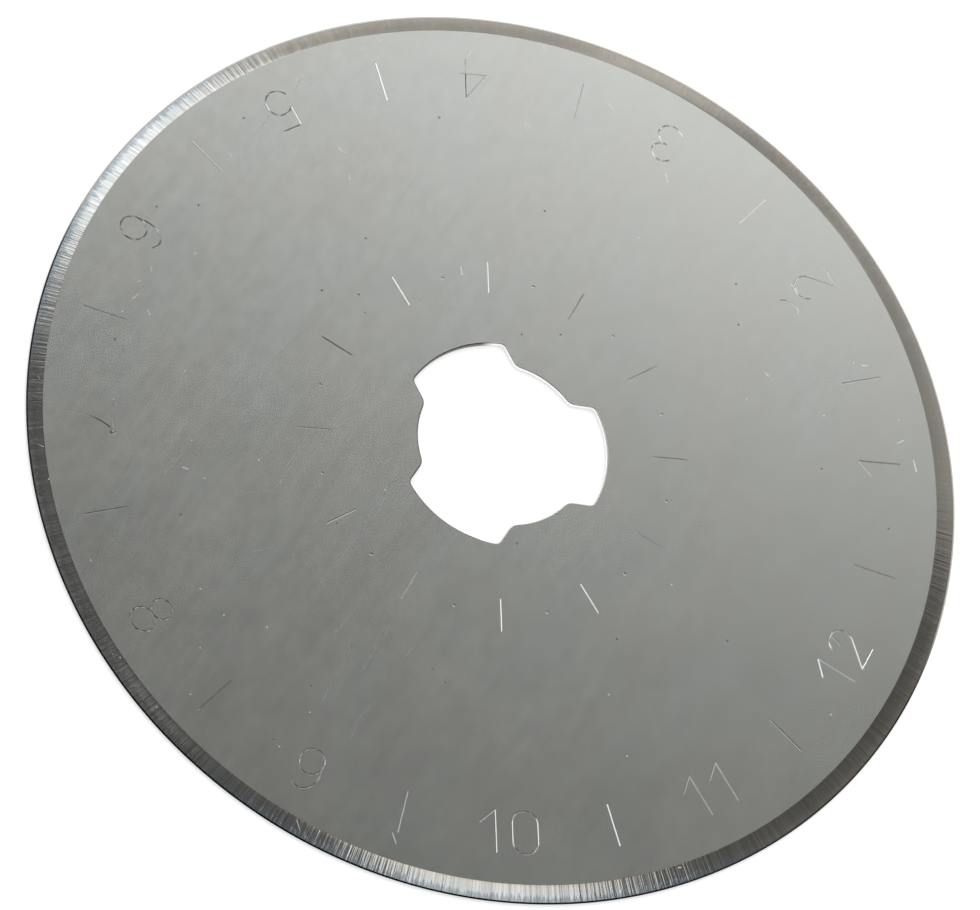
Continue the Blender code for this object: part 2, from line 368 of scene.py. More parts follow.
@dataclass(frozen=True)
class ShearedSteel:
    """The hub hole's wall: burnished above, with nearly black painted shade on the upper wall on one side of the
    hole, and a darker fracture zone below that also stands in for the shade where the wall meets the floor.
    """

    torn_height: float
    burnished: Colour = (0.94, 0.94, 0.92)
    dull: Colour = (0.16, 0.16, 0.15)
    torn: Colour = (0.45, 0.45, 0.43)
    bright_side: Point = (0.87, 0.50)

    def material(self) -> bpy.types.Material:
        """Builds the material."""
        material = bpy.data.materials.new("sheared_wall")
        graph = Graph(material)
        place = graph.place()
        x, y, z = graph.split(place)
        round_x, round_y, _ = graph.split(graph.vector("NORMALIZE", graph.joined(x, y, 0.0)))
        ragged = graph.noise(place, (6.0, 6.0, 2.0), 3.0, 0.6)
        # Painted shade: the upper wall turns nearly black on one side of the hole.
        bright = (round_x * self.bright_side[0] + round_y * self.bright_side[1]).rise(-0.25, -0.10)
        upper = graph.blend(bright, self.dull, self.burnished)
        # The darker lower band is a real fracture zone and also painted shade at the wall's foot.
        above = (z - self.torn_height / MM + 0.05 * (ragged - 0.5)).rise(-0.015, 0.015)
        values = {
            "Base Color": graph.blend(above, self.torn, upper),
            "Metallic": 1.0,
            "Roughness": 0.5 - 0.2 * above,
        }
        graph.show(graph.node("ShaderNodeBsdfPrincipled", {}, values))
        return material


@dataclass(frozen=True)
class WorkedSteel:
    """A small worked surface: a groove, a nick, a pit or a hairline, which painted shade can darken toward one
    side of the blade.
    """

    name: str
    dark: Colour
    light: Colour
    roughness: float
    waves: tuple[float, float, float] = (6.0, 6.0, 6.0)
    metallic: float = 1.0
    relief_depth: float = 2.0e-7
    clean_side: Point = (0.50, 0.87)
    reach: float = 20.0
    dull_level: float = 1.0

    def material(self) -> bpy.types.Material:
        """Builds the material."""
        material = bpy.data.materials.new(self.name)
        graph = Graph(material)
        place = graph.place()
        waves = graph.noise(place, self.waves, 3.0, 0.6)
        x, y, _ = graph.split(place)
        # Painted shade: darker toward one side of the blade, down to the given level.
        unshaded = (x * self.clean_side[0] + y * self.clean_side[1]).rise(-self.reach, self.reach)
        level = self.dull_level + (1.0 - self.dull_level) * unshaded
        values = {
            "Base Color": graph.scaled(graph.blend(waves.rise(0.3, 0.7), self.dark, self.light), level),
            "Metallic": self.metallic,
            "Roughness": self.roughness + 0.1 * (waves - 0.5),
            "Normal": graph.relief(waves, self.relief_depth),
        }
        graph.show(graph.node("ShaderNodeBsdfPrincipled", {}, values))
        return material


NUMERAL_STEP = math.radians(9.0)
NUMERAL_CURVE_STEPS = 12


def arc(centre: Point, radii: Point, start: float, end: float, step: float) -> list[Point]:
    """Points of an elliptical arc.

    Args:
        centre: The arc's middle.
        radii: Its two half-axes.
        start: The angle that it starts at.
        end: The angle that it ends at.
        step: The widest angle between two points.

    Returns:
        The points, both ends among them.
    """
    count = max(1, math.ceil(abs(end - start) / step - ANGLE_SLACK))
    angles = [start + (end - start) * index / count for index in range(count + 1)]
    return [(centre[0] + radii[0] * math.cos(a), centre[1] + radii[1] * math.sin(a)) for a in angles]


def bow(x: float, y: float, rx: float, ry: float, start: float, end: float) -> list[Point]:
    """An arc of a numeral, with its angles in degrees."""
    return arc((x, y), (rx, ry), math.radians(start), math.radians(end), NUMERAL_STEP)


def ring(x: float, y: float, rx: float, ry: float) -> Stroke:
    """A whole round stroke."""
    return bow(x, y, rx, ry, 0, 360)[:-1], True


def line(*points: Point) -> Stroke:
    """An open stroke."""
    return list(points), False


def zero(w: float, h: float) -> list[Stroke]:
    """The strokes of 0."""
    half = w / 2
    return [(bow(half, h - half, half, half, 0, 180) + bow(half, half, half, half, 180, 360), True)]


def one(w: float, h: float) -> list[Stroke]:
    """The strokes of 1."""
    stem = 0.6 * w
    return [line((0.0, 0.7 * h), (stem, h)), line((stem, h), (stem, 0.0))]


def two(w: float, h: float) -> list[Stroke]:
    """The strokes of 2."""
    hook = bow(0.5 * w, 0.71 * h, 0.5 * w, 0.29 * h, 165, -35)
    return [line(*hook, (0.0, 0.0)), line((0.0, 0.0), (w, 0.0))]


def three(w: float, h: float) -> list[Stroke]:
    """The strokes of 3."""
    upper = bow(0.46 * w, 0.77 * h, 0.44 * w, 0.23 * h, 160, -90)
    lower = bow(0.5 * w, 0.27 * h, 0.5 * w, 0.27 * h, 90, -155)
    return [line(*upper), line(*lower)]


def four(w: float, h: float) -> list[Stroke]:
    """The strokes of 4."""
    stem = 0.85 * w
    bar = 0.37 * h
    return [line((stem, h), (0.0, bar)), line((0.0, bar), (1.1 * w, bar)), line((stem, h), (stem, 0.0))]


def five(w: float, h: float) -> list[Stroke]:
    """The strokes of 5."""
    corner = (0.12 * w, h)
    bowl = bow(0.48 * w, 0.31 * h, 0.52 * w, 0.31 * h, 140, -155)
    return [line((0.9 * w, h), corner), line(corner, bowl[0]), line(*bowl)]


def six(w: float, h: float) -> list[Stroke]:
    """The strokes of 6."""
    tail = bow(0.52 * w, 0.56 * h, 0.54 * w, 0.44 * h, 55, 205)
    return [ring(0.52 * w, 0.31 * h, 0.48 * w, 0.31 * h), line(*tail)]


def seven(w: float, h: float) -> list[Stroke]:
    """The strokes of 7."""
    start, pull, end = Vector((1.08 * w, h)), Vector((0.55 * w, 0.8 * h)), Vector((0.35 * w, 0.0))
    stem = []
    for index in range(NUMERAL_CURVE_STEPS + 1):
        t = index / NUMERAL_CURVE_STEPS
        stem.append(tuple(start * (1 - t) ** 2 + pull * 2 * t * (1 - t) + end * t**2))
    return [line((0.0, h), stem[0]), line(*stem)]


def eight(w: float, h: float) -> list[Stroke]:
    """The strokes of 8."""
    return [ring(0.48 * w, 0.77 * h, 0.42 * w, 0.23 * h), ring(0.5 * w, 0.27 * h, 0.5 * w, 0.27 * h)]


def nine(w: float, h: float) -> list[Stroke]:
    """The strokes of 9."""
    return [([(w - x, h - y) for x, y in points], closed) for points, closed in six(w, h)]


NUMERALS: tuple[Callable[[float, float], list[Stroke]], ...] = (
    zero,
    one,
    two,
    three,
    four,
    five,
    six,
    seven,
    eight,
    nine,
)


def keep_mesh(shape: bmesh.types.BMesh, name: str, finish: Finish) -> bpy.types.Object:
    """Turns a finished shape into an object with one finish.

    Args:
        shape: The shape, which is freed.
        name: The object's name.
        finish: The finish of its faces.

    Returns:
        The object, in no collection yet.
    """
    bmesh.ops.remove_doubles(shape, verts=shape.verts, dist=WELD)
    bmesh.ops.recalc_face_normals(shape, faces=shape.faces)
    for face in shape.faces:
        face.material_index = finish.value
    mesh = bpy.data.meshes.new(name)
    shape.to_mesh(mesh)
    shape.free()
    for item in Finish:
        mesh.materials.append(None)
    return bpy.data.objects.new(name, mesh)


@dataclass(frozen=True)
class Scriber:
    """A V-shaped tool that leaves a groove of one width and depth along a path, run out at its ends."""

    width: float
    depth: float
    finish: Finish
    lead: float = 2.0
    run_out: float = 0.4
    sides: int = 4

    def heading(self, points: Sequence[Vector], index: int, closed: bool) -> tuple[Vector, float]:
        """Which way the path runs at one of its points.

        Args:
            points: The path, in the plane of the face.
            index: Which of its points.
            closed: Whether the path runs round.

        Returns:
            The heading, and how much wider the mitre makes the tool there.
        """
        count = len(points)
        legs = []
        if closed or index > 0:
            legs.append((points[index] - points[(index - 1) % count]).normalized())
        if closed or index < count - 1:
            legs.append((points[(index + 1) % count] - points[index]).normalized())
        heading = sum(legs, Vector((0.0, 0.0))).normalized()
        return heading, 1 / max(0.5, heading.dot(legs[0]))

    def section(self, point: Vector, heading: Vector, mitre: float, lift: float) -> Matrix:
        """Where the tool's section stands, with its point down.

        Args:
            point: Its place in the plane of the face.
            heading: Which way the tool moves there.
            mitre: How much wider it is for the mitre.
            lift: How far it is lifted.

        Returns:
            The matrix of a round section of radius 1.
        """
        half_width = (1 + self.lead) * self.width / 2
        half_height = (1 + self.lead) * self.depth
        turn = math.atan2(heading.y, heading.x) - math.pi / 2
        return (
            Matrix.Translation((point.x, point.y, half_height - self.depth + lift))
            @ Matrix.Rotation(turn, 4, "Z")
            @ Matrix.Diagonal((mitre * half_width, 1.0, half_height, 1.0))
            @ Matrix.Rotation(math.pi / 2, 4, "X")
        )

    def sweep(self, name: str, path: Iterable[Point], closed: bool, place: Matrix) -> bpy.types.Object:
        """Makes the body that the tool cuts away.

        Args:
            name: The body's name.
            path: The groove's middle line, in the plane of the face.
            closed: Whether it runs round.
            place: Where the path's frame stands on the blade.

        Returns:
            The body, as a cutter.
        """
        points = [Vector(point) for point in path]
        headings = [self.heading(points, index, closed) for index in range(len(points))]
        sections = [self.section(point, *heading, 0.0) for point, heading in zip(points, headings)]
        if not closed:
            ahead, behind = headings[0][0], headings[-1][0]
            reach = self.run_out * self.width
            sections.insert(0, self.section(points[0] - ahead * reach, ahead, 1.0, self.depth))
            sections.append(self.section(points[-1] + behind * reach, behind, 1.0, self.depth))
        shape = bmesh.new()
        bmesh.ops.create_circle(shape, segments=self.sides, radius=1.0, matrix=sections[0])
        first = list(shape.edges)
        loop = first
        for before, after in zip(sections, sections[1:]):
            made = bmesh.ops.extrude_edge_only(shape, edges=loop)["geom"]
            moved = [item for item in made if isinstance(item, bmesh.types.BMVert)]
            edges = [item for item in made if isinstance(item, bmesh.types.BMEdge)]
            loop = [edge for edge in edges if all(vertex in moved for vertex in edge.verts)]
            bmesh.ops.transform(shape, matrix=after @ before.inverted(), verts=moved)
        if closed:
            bmesh.ops.bridge_loops(shape, edges=first + loop)
        else:
            bmesh.ops.holes_fill(shape, edges=shape.edges, sides=self.sides)
        bmesh.ops.transform(shape, matrix=place, verts=shape.verts)
        return keep_mesh(shape, name, self.finish)


@dataclass(frozen=True)
class Punch:
    """A round-nosed punch that leaves a dot."""

    width: float
    depth: float
    finish: Finish
    rings: int = 8

    def strike(self, name: str, place: Matrix) -> bpy.types.Object:
        """Makes the body that the punch presses away.

        Args:
            name: The body's name.
            place: The dot's place on the face.

        Returns:
            The body, as a cutter.
        """
        nose = ((self.width / 2) ** 2 + self.depth**2) / (2 * self.depth)
        shape = bmesh.new()
        lifted = place @ Matrix.Translation(UP * (nose - self.depth))
        bmesh.ops.create_uvsphere(
            shape, u_segments=2 * self.rings, v_segments=2 * self.rings, radius=nose, matrix=lifted
        )
        return keep_mesh(shape, name, self.finish)


@dataclass(frozen=True)
class HubHole:
    """The hub hole: a round bore with straight-sided slots between its tabs."""

    bore: float = 8.15 * MM
    slot_depth: float = 1.025 * MM
    slot_width: float = 5.0 * MM
    slots: int = 3
    first_slot: float = math.radians(30.0)
    tab_corner: float = 0.6 * 1.025 * MM
    slot_corner: float = 0.3 * 1.025 * MM
    fine_step: float = math.radians(2.0)
    corner_step: float = math.radians(7.5)

    def turn(
        self, shape: bmesh.types.BMesh, start: bmesh.types.BMVert, centre: Point, angle: float, step: float
    ) -> bmesh.types.BMVert:
        """Draws an arc on from a vertex.

        Args:
            shape: The drawing.
            start: The vertex that the arc starts at.
            centre: The arc's middle.
            angle: How far it turns.
            step: The widest angle between two points.

        Returns:
            The vertex that the arc ends at.
        """
        steps = max(1, math.ceil(abs(angle) / step - ANGLE_SLACK))
        middle = Vector((*centre, 0.0))
        made = bmesh.ops.spin(shape, geom=[start], cent=middle, axis=UP, angle=angle, steps=steps)
        return next(item for item in made["geom_last"] if isinstance(item, bmesh.types.BMVert))

    def half_slot(self, shape: bmesh.types.BMesh) -> None:
        """Draws half a slot and half the tab beside it, from the slot's middle line on +X."""
        bore = self.bore / 2
        reach = bore + self.slot_depth
        half = self.slot_width / 2
        corner_y = half - self.slot_corner
        corner_x = math.sqrt((reach - self.slot_corner) ** 2 - corner_y**2)
        corner_angle = math.atan2(corner_y, corner_x)
        tab_y = half + self.tab_corner
        tab_x = math.sqrt((bore + self.tab_corner) ** 2 - tab_y**2)
        tab_angle = math.atan2(tab_y, tab_x)
        start = shape.verts.new((reach, 0.0, 0.0))
        at = self.turn(shape, start, (0.0, 0.0), corner_angle, self.fine_step)
        at = self.turn(shape, at, (corner_x, corner_y), math.pi / 2 - corner_angle, self.corner_step)
        side = bmesh.ops.extrude_vert_indiv(shape, verts=[at])["verts"][0]
        side.co = (tab_x, half, 0.0)
        at = self.turn(shape, side, (tab_x, tab_y), tab_angle - math.pi / 2, self.corner_step)
        self.turn(shape, at, (0.0, 0.0), math.pi / self.slots - tab_angle, self.fine_step)

    def draw(self, shape: bmesh.types.BMesh) -> None:
        """Draws the whole hole's outline on z = 0."""
        self.half_slot(shape)
        geometry = list(shape.verts) + list(shape.edges)
        bmesh.ops.mirror(shape, geom=geometry, axis="Y", merge_dist=WELD)
        bmesh.ops.rotate(shape, cent=Vector(), matrix=Matrix.Rotation(self.first_slot, 3, "Z"), verts=shape.verts)
        geometry = list(shape.verts) + list(shape.edges)
        bmesh.ops.spin(
            shape,
            geom=geometry,
            cent=Vector(),
            axis=UP,
            angle=math.tau * (self.slots - 1) / self.slots,
            steps=self.slots - 1,
            use_duplicate=True,
        )
        bmesh.ops.remove_doubles(shape, verts=shape.verts, dist=WELD)


@dataclass(frozen=True)
class BladeBody:
    """The disc with its ground bands, honed edge and hub hole."""

    diameter: float = 45.0 * MM
    thickness: float = 0.3 * MM
    grind_width: float = 0.856 * MM
    hone_width: float = 0.08 * MM
    hone_rise: float = 0.03 * MM
    crown: float = 0.002 * MM
    shoulder: float = 0.005 * MM
    shoulder_steps: int = 3
    grind_steps: int = 5
    steps: int = 720
    top_shift: Vector = field(default_factory=lambda: Vector((-0.095 * MM, -0.063 * MM, 0.0)))
    hole: HubHole = field(default_factory=HubHole)
    hole_round: float = 0.06 * MM
    hole_round_steps: int = 4

    @property
    def radius(self) -> float:
        """The blade's radius."""
        return self.diameter / 2

    @property
    def flat_radius(self) -> float:
        """The radius where the flat face ends and the ground band starts."""
        return self.radius - self.grind_width

    def crowned(self, share: float) -> float:
        """How far the ground band stands above a straight slope, at a share of its width."""
        return 4 * share * (1 - share) * self.crown

    def seat(self, x: float, y: float) -> Matrix:
        """Where a mark stands on the top side.

        Args:
            x: Its place along X.
            y: Its place along Y.

        Returns:
            A frame on the surface there, with its Z along the surface's normal.
        """
        spot = Vector((x, y, 0.0))
        width = self.grind_width - self.hone_width
        drop = self.thickness / 2 - self.hone_rise
        share = ((spot - self.top_shift).length - self.flat_radius) / width
        if share <= 0:
            return Matrix.Translation((x, y, self.thickness))
        height = self.thickness - share * drop + self.crowned(share)
        azimuth = math.atan2(y, x)
        tilt = Matrix.Rotation(math.atan2(drop, width), 4, "Y")
        turn = Matrix.Rotation(azimuth, 4, "Z")
        return Matrix.Translation((x, y, height)) @ turn @ tilt @ turn.inverted()

    def upper_profile(self) -> list[Vector]:
        """The ground band's section: from the flat face over a rounded shoulder, and out to the cutting edge."""
        middle = self.thickness / 2
        corner = Vector((self.flat_radius, 0.0, self.thickness))
        end = Vector((self.radius - self.hone_width, 0.0, middle + self.hone_rise))
        first = self.shoulder / (end.x - corner.x)
        inside = corner - Vector((self.shoulder, 0.0, 0.0))
        outside = corner.lerp(end, first)
        points = []
        for index in range(self.shoulder_steps):
            t = index / self.shoulder_steps
            points.append(inside * (1 - t) ** 2 + corner * 2 * t * (1 - t) + outside * t**2)
        for index in range(self.grind_steps + 1):
            share = first + (1 - first) * index / self.grind_steps
            points.append(corner.lerp(end, share) + UP * self.crowned(share))
        return points + [Vector((self.radius, 0.0, middle))]

    def band(self, shape: bmesh.types.BMesh) -> None:
        """Turns the ground bands of both sides from their section."""
        upper = self.upper_profile()
        lower = [Vector((point.x, 0.0, max(0.0, self.thickness - point.z))) for point in reversed(upper[:-1])]
        section = [shape.verts.new(point) for point in upper + lower]
        edges = [shape.edges.new(pair) for pair in zip(section, section[1:])]
        bmesh.ops.spin(
            shape,
            geom=section + edges,
            cent=Vector(),
            axis=UP,
            angle=math.tau,
            steps=self.steps,
            use_merge=True,
        )
        bmesh.ops.remove_doubles(shape, verts=shape.verts, dist=WELD)
        for vertex in shape.verts:
            reach = vertex.co.xy.length
            if vertex.co.z > self.thickness / 2 + self.hone_rise + WELD and reach > self.flat_radius / 2:
                share = (self.radius - self.hone_width - reach) / (self.grind_width - self.hone_width)
                vertex.co += self.top_shift * share

    def build(self) -> bpy.types.Object:
        """Builds the plain body.

        Returns:
            The body, with its faces marked by finish.
        """
        shape = bmesh.new()
        self.hole.draw(shape)
        outline = list(shape.edges)
        made = bmesh.ops.extrude_edge_only(shape, edges=outline)["geom"]
        raised = [item for item in made if isinstance(item, bmesh.types.BMVert)]
        bmesh.ops.translate(shape, verts=raised, vec=UP * self.thickness)
        self.band(shape)
        for side in Side:
            level = self.thickness if side is Side.TOP else 0.0
            loops = [
                edge
                for edge in shape.edges
                if edge.is_boundary and all(abs(vertex.co.z - level) < WELD for vertex in edge.verts)
            ]
            bmesh.ops.triangle_fill(shape, edges=loops, use_beauty=True, normal=UP * side.value)
        bmesh.ops.recalc_face_normals(shape, faces=shape.faces)
        self.round_hole(shape)
        self.mark(shape)
        mesh = bpy.data.meshes.new("ground_disc")
        shape.to_mesh(mesh)
        shape.free()
        blade = bpy.data.objects.new("ground_disc", mesh)
        bpy.context.scene.collection.objects.link(blade)
        return blade

    def round_hole(self, shape: bmesh.types.BMesh) -> None:
        """Rounds the hole's edges, as the punch left them."""
        limit = self.flat_radius / 2
        edges = [
            edge
            for edge in shape.edges
            if edge.calc_face_angle(0.0) > math.radians(60.0)
            and all(vertex.co.xy.length < limit for vertex in edge.verts)
            and abs(edge.verts[0].co.z - edge.verts[1].co.z) < WELD
        ]
        bmesh.ops.bevel(
            shape,
            geom=edges,
            offset=self.hole_round,
            offset_type="OFFSET",
            segments=self.hole_round_steps,
            profile=0.5,
            affect="EDGES",
            material=-1,
        )

    def mark(self, shape: bmesh.types.BMesh) -> None:
        """Marks each face with its finish."""
        limit = self.flat_radius / 2
        hone_start = self.radius - self.hone_width
        flat = math.cos(math.radians(0.5))
        for face in shape.faces:
            middle = face.calc_center_median()
            if abs(face.normal.z) > flat:
                face.material_index = Finish.ROLLED.value
            elif middle.xy.length < limit:
                face.material_index = Finish.SHEARED.value
            elif middle.xy.length > hone_start:
                face.material_index = Finish.HONED.value
            else:
                face.material_index = Finish.GROUND.value


@dataclass(frozen=True)
class Dial:
    """The struck dial: the numbers, the ticks between them and the ring of strokes and dots round the hub."""

    face: float
    flat_radius: float
    hole_reach: float
    groove: Scriber
    dot: Punch
    count: int = 12
    start: float = math.radians(3.6)
    shift: Vector = field(default_factory=lambda: Vector((-0.31 * MM, -0.27 * MM, 0.0)))
    number_margin: float = 1.5 * MM
    digit_height: float = 2.05 * MM
    digit_width: float = 1.2 * MM
    digit_pitch: float = 1.5 * MM
    one_digit_shift: float = 0.35 * MM
    tick_length: float = 2.03 * MM
    inner_margin: float = 2.7 * MM
    inner_stroke: float = 1.6 * MM

    def place(self, angle: float) -> Matrix:
        """A frame at the dial's middle on the face, whose -Y points out along an angle."""
        turn = Matrix.Rotation(angle + math.pi / 2, 4, "Z")
        return Matrix.Translation(self.shift + UP * self.face) @ turn

    def number(self, value: int) -> list[Stroke]:
        """The strokes of a whole number, centred but for the shift of a single digit."""
        digits = [int(character) for character in str(value)]
        strokes = []
        for index, digit in enumerate(digits):
            for points, closed in NUMERALS[digit](self.digit_width, self.digit_height):
                strokes.append(([(x + index * self.digit_pitch, y) for x, y in points], closed))
        across = [x for points, _ in strokes for x, _ in points]
        offset = -(min(across) + max(across)) / 2
        if len(digits) == 1:
            offset += self.one_digit_shift
        return [([(x + offset, y) for x, y in points], closed) for points, closed in strokes]

    def cutters(self) -> list[bpy.types.Object]:
        """Makes a cutter for each stroke and dot."""
        foot = self.flat_radius - self.number_margin
        ring_start = self.hole_reach + self.inner_margin
        tick = [(0.0, -foot), (0.0, self.tick_length - foot)]
        stroke = [(0.0, -ring_start - self.inner_stroke), (0.0, -ring_start)]
        dot_offset = Matrix.Translation((0.0, -ring_start - self.inner_stroke / 2, 0.0))
        made = []
        for value in range(1, self.count + 1):
            on_number = self.place(self.start + math.tau * value / self.count)
            on_tick = self.place(self.start + math.tau * (value + 0.5) / self.count)
            feet = on_number @ Matrix.Translation((0.0, -foot, 0.0))
            for index, (points, closed) in enumerate(self.number(value)):
                made.append(self.groove.sweep(f"number_{value}_{index}", points, closed, feet))
            made.append(self.groove.sweep(f"tick_{value}", tick, False, on_tick))
            made.append(self.groove.sweep(f"stroke_{value}", stroke, False, on_number))
            made.append(self.dot.strike(f"dot_{value}", on_tick @ dot_offset))
        return made


# Nicks: the middle's x and y in millimetres, then length in millimetres and heading in degrees
NICKS = (
    (-16.0, 14.25, 0.40, -12.0),
    (-17.75, -4.75, 0.38, 79.0),
    (-9.4, 19.35, 0.42, -18.0),
    (-5.05, 18.7, 0.38, -25.0),
    (-12.05, 16.6, 0.34, 98.0),
    (-14.2, 8.0, 0.50, -3.0),
    (-7.75, 15.1, 0.32, 2.0),
    (-6.25, 6.35, 0.42, -52.0),
    (-0.85, 17.2, 0.44, -47.0),
    (-11.2, -10.55, 0.28, 15.0),
    (16.75, 11.9, 0.60, -47.0),
    (15.55, 12.55, 0.34, 64.0),
    (6.15, -19.7, 0.50, -39.0),
    (8.45, 11.35, 0.27, -12.0),
    (7.2, 16.25, 0.40, -12.0),
    (-13.1, 7.0, 0.26, -47.0),
    (12.1, 14.9, 0.30, 39.0),
    (-16.8, -5.05, 0.25, -36.0),
    (-17.95, -3.1, 0.25, -46.0),
    (-18.2, 4.3, 0.30, -22.0),
    (-16.76, -1.08, 0.12, 40.0),
    (-18.03, -3.99, 0.16, 60.0),
    (-17.7, -13.55, 0.22, 96.0),
    (-17.1, -13.8, 0.36, 9.0),
    (-19.05, -11.0, 0.26, -26.0),
    (-16.8, -14.65, 0.18, 20.0),
    (-12.2, -18.5, 0.21, -30.0),
    (2.3, -21.85, 0.46, -38.0),
    (17.6, -12.75, 0.14, 40.0),
)

# Bright specks, whose near-white colour is a painted glint, in millimetres
SPECKS = (
    (-10.7, 16.1),
    (-6.0, 15.6),
    (-0.3, 13.5),
    (-6.9, 3.6),
    (11.6, 14.7),
    (11.8, 11.3),
    (-5.0, -19.65),
    (-0.4, -19.25),
    (-10.2, -10.4),
    (12.85, -9.65),
    (-12.14, -17.07),
    (-7.4, -15.1),
    (-14.1, 12.5),
    (-3.2, -5.55),
    (14.9, 13.5),
    (10.2, -1.0),
    (8.3, 9.6),
    (-0.15, -17.0),
    (-18.85, 2.07),
    (-17.8, -5.8),
    (-11.7, -9.2),
    (-8.7, -8.05),
    (-5.85, -17.5),
    (-5.85, -15.5),
    (-3.95, -14.75),
    (-8.85, -20.2),
    (-8.5, -20.15),
    (-5.9, -21.1),
    (-15.85, -14.95),
    (-12.75, -18.45),
    (10.6, -7.6),
    (19.7, -1.8),
    (2.55, 18.6),
    (-13.85, -6.45),
    (-15.7, -9.75),
    (-1.3, 18.15),
)

# Dark pits, in millimetres
PITS = (
    (-19.5, -0.25),
    (-18.0, 1.1),
    (-11.0, 1.15),
    (-18.8, 6.35),
    (-11.4, 12.6),
    (-10.8, 4.8),
    (-9.5, 2.1),
    (-4.7, 11.7),
    (6.0, 12.7),
    (4.8, 14.5),
    (-2.2, 5.4),
    (-0.7, 6.6),
    (-17.3, -7.2),
    (-10.1, -12.6),
    (-0.8, -15.9),
    (3.3, -11.7),
    (4.1, -11.9),
    (13.8, -1.75),
    (17.3, 8.2),
    (-0.8, -19.15),
    (9.5, -5.0),
    (13.1, 8.8),
    (-4.1, -8.4),
    (3.2, -3.9),
)

# Hairline scratches: start, then end, in millimetres
SCRATCHES = (
    ((-3.1, -4.2), (-3.1, -7.5)),
    ((-2.8, -4.6), (-2.9, -7.1)),
    ((-3.0, -4.7), (-3.0, -6.4)),
    ((-3.1, -7.5), (-3.0, -10.3)),
    ((-3.5, -2.95), (-3.95, -4.5)),
    ((-7.5, -4.9), (-7.3, -8.45)),
    ((-7.6, -5.0), (-7.5, -7.7)),
    ((-17.9, 7.2), (-17.9, 5.0)),
    ((-17.8, 10.0), (-17.6, 8.9)),
    ((0.5, -11.4), (0.7, -13.7)),
    ((1.95, -10.1), (1.95, -11.9)),
    ((-1.1, -10.8), (-1.3, -13.0)),
    ((-7.2, -8.7), (-8.6, -10.1)),
    ((-5.5, -10.85), (-6.5, -12.05)),
    ((-11.4, -6.4), (-11.8, -11.4)),
    ((-0.4, -12.8), (0.0, -16.2)),
    ((-10.7, -1.3), (-10.95, -4.6)),
    ((1.8, -14.7), (2.0, -16.8)),
    ((17.5, -3.85), (19.55, -4.2)),
)


# Strokes left where a number's punch landed twice, in millimetres
SECOND_STRIKES = (
    ((17.67, 1.70), (18.31, 1.52)),
    ((7.01, 15.19), (7.24, 15.38), (7.56, 15.46), (7.86, 15.39), (8.07, 15.17)),
    ((-14.95, -11.22), (-14.79, -11.22), (-14.69, -11.06)),
)


@dataclass(frozen=True)
class Wear:
    """Second strikes, nicks, specks, pits and hairline scratches on the top side."""

    body: BladeBody
    groove: Scriber
    nick: Scriber
    scratch: Scriber
    speck: Punch
    pit: Punch

    def cutters(self) -> list[bpy.types.Object]:
        """Makes a cutter for each mark."""
        made = []
        for index, points in enumerate(SECOND_STRIKES):
            path = [(x * MM, y * MM) for x, y in points]
            made.append(self.groove.sweep(f"strike_{index}", path, False, self.body.seat(0.0, 0.0)))
        for index, (x, y, length, heading) in enumerate(NICKS):
            turn = math.radians(heading)
            half = Vector((math.cos(turn), math.sin(turn))) * length * MM / 2
            path = [tuple(-half), tuple(half)]
            made.append(self.nick.sweep(f"nick_{index}", path, False, self.body.seat(x * MM, y * MM)))
        for index, (start, end) in enumerate(SCRATCHES):
            path = [(0.0, 0.0), tuple((Vector(end) - Vector(start)) * MM)]
            place = self.body.seat(start[0] * MM, start[1] * MM)
            made.append(self.scratch.sweep(f"scratch_{index}", path, False, place))
        for kind, tool, places in (("speck", self.speck, SPECKS), ("pit", self.pit, PITS)):
            for index, (x, y) in enumerate(places):
                made.append(tool.strike(f"{kind}_{index}", self.body.seat(x * MM, y * MM)))
        return made


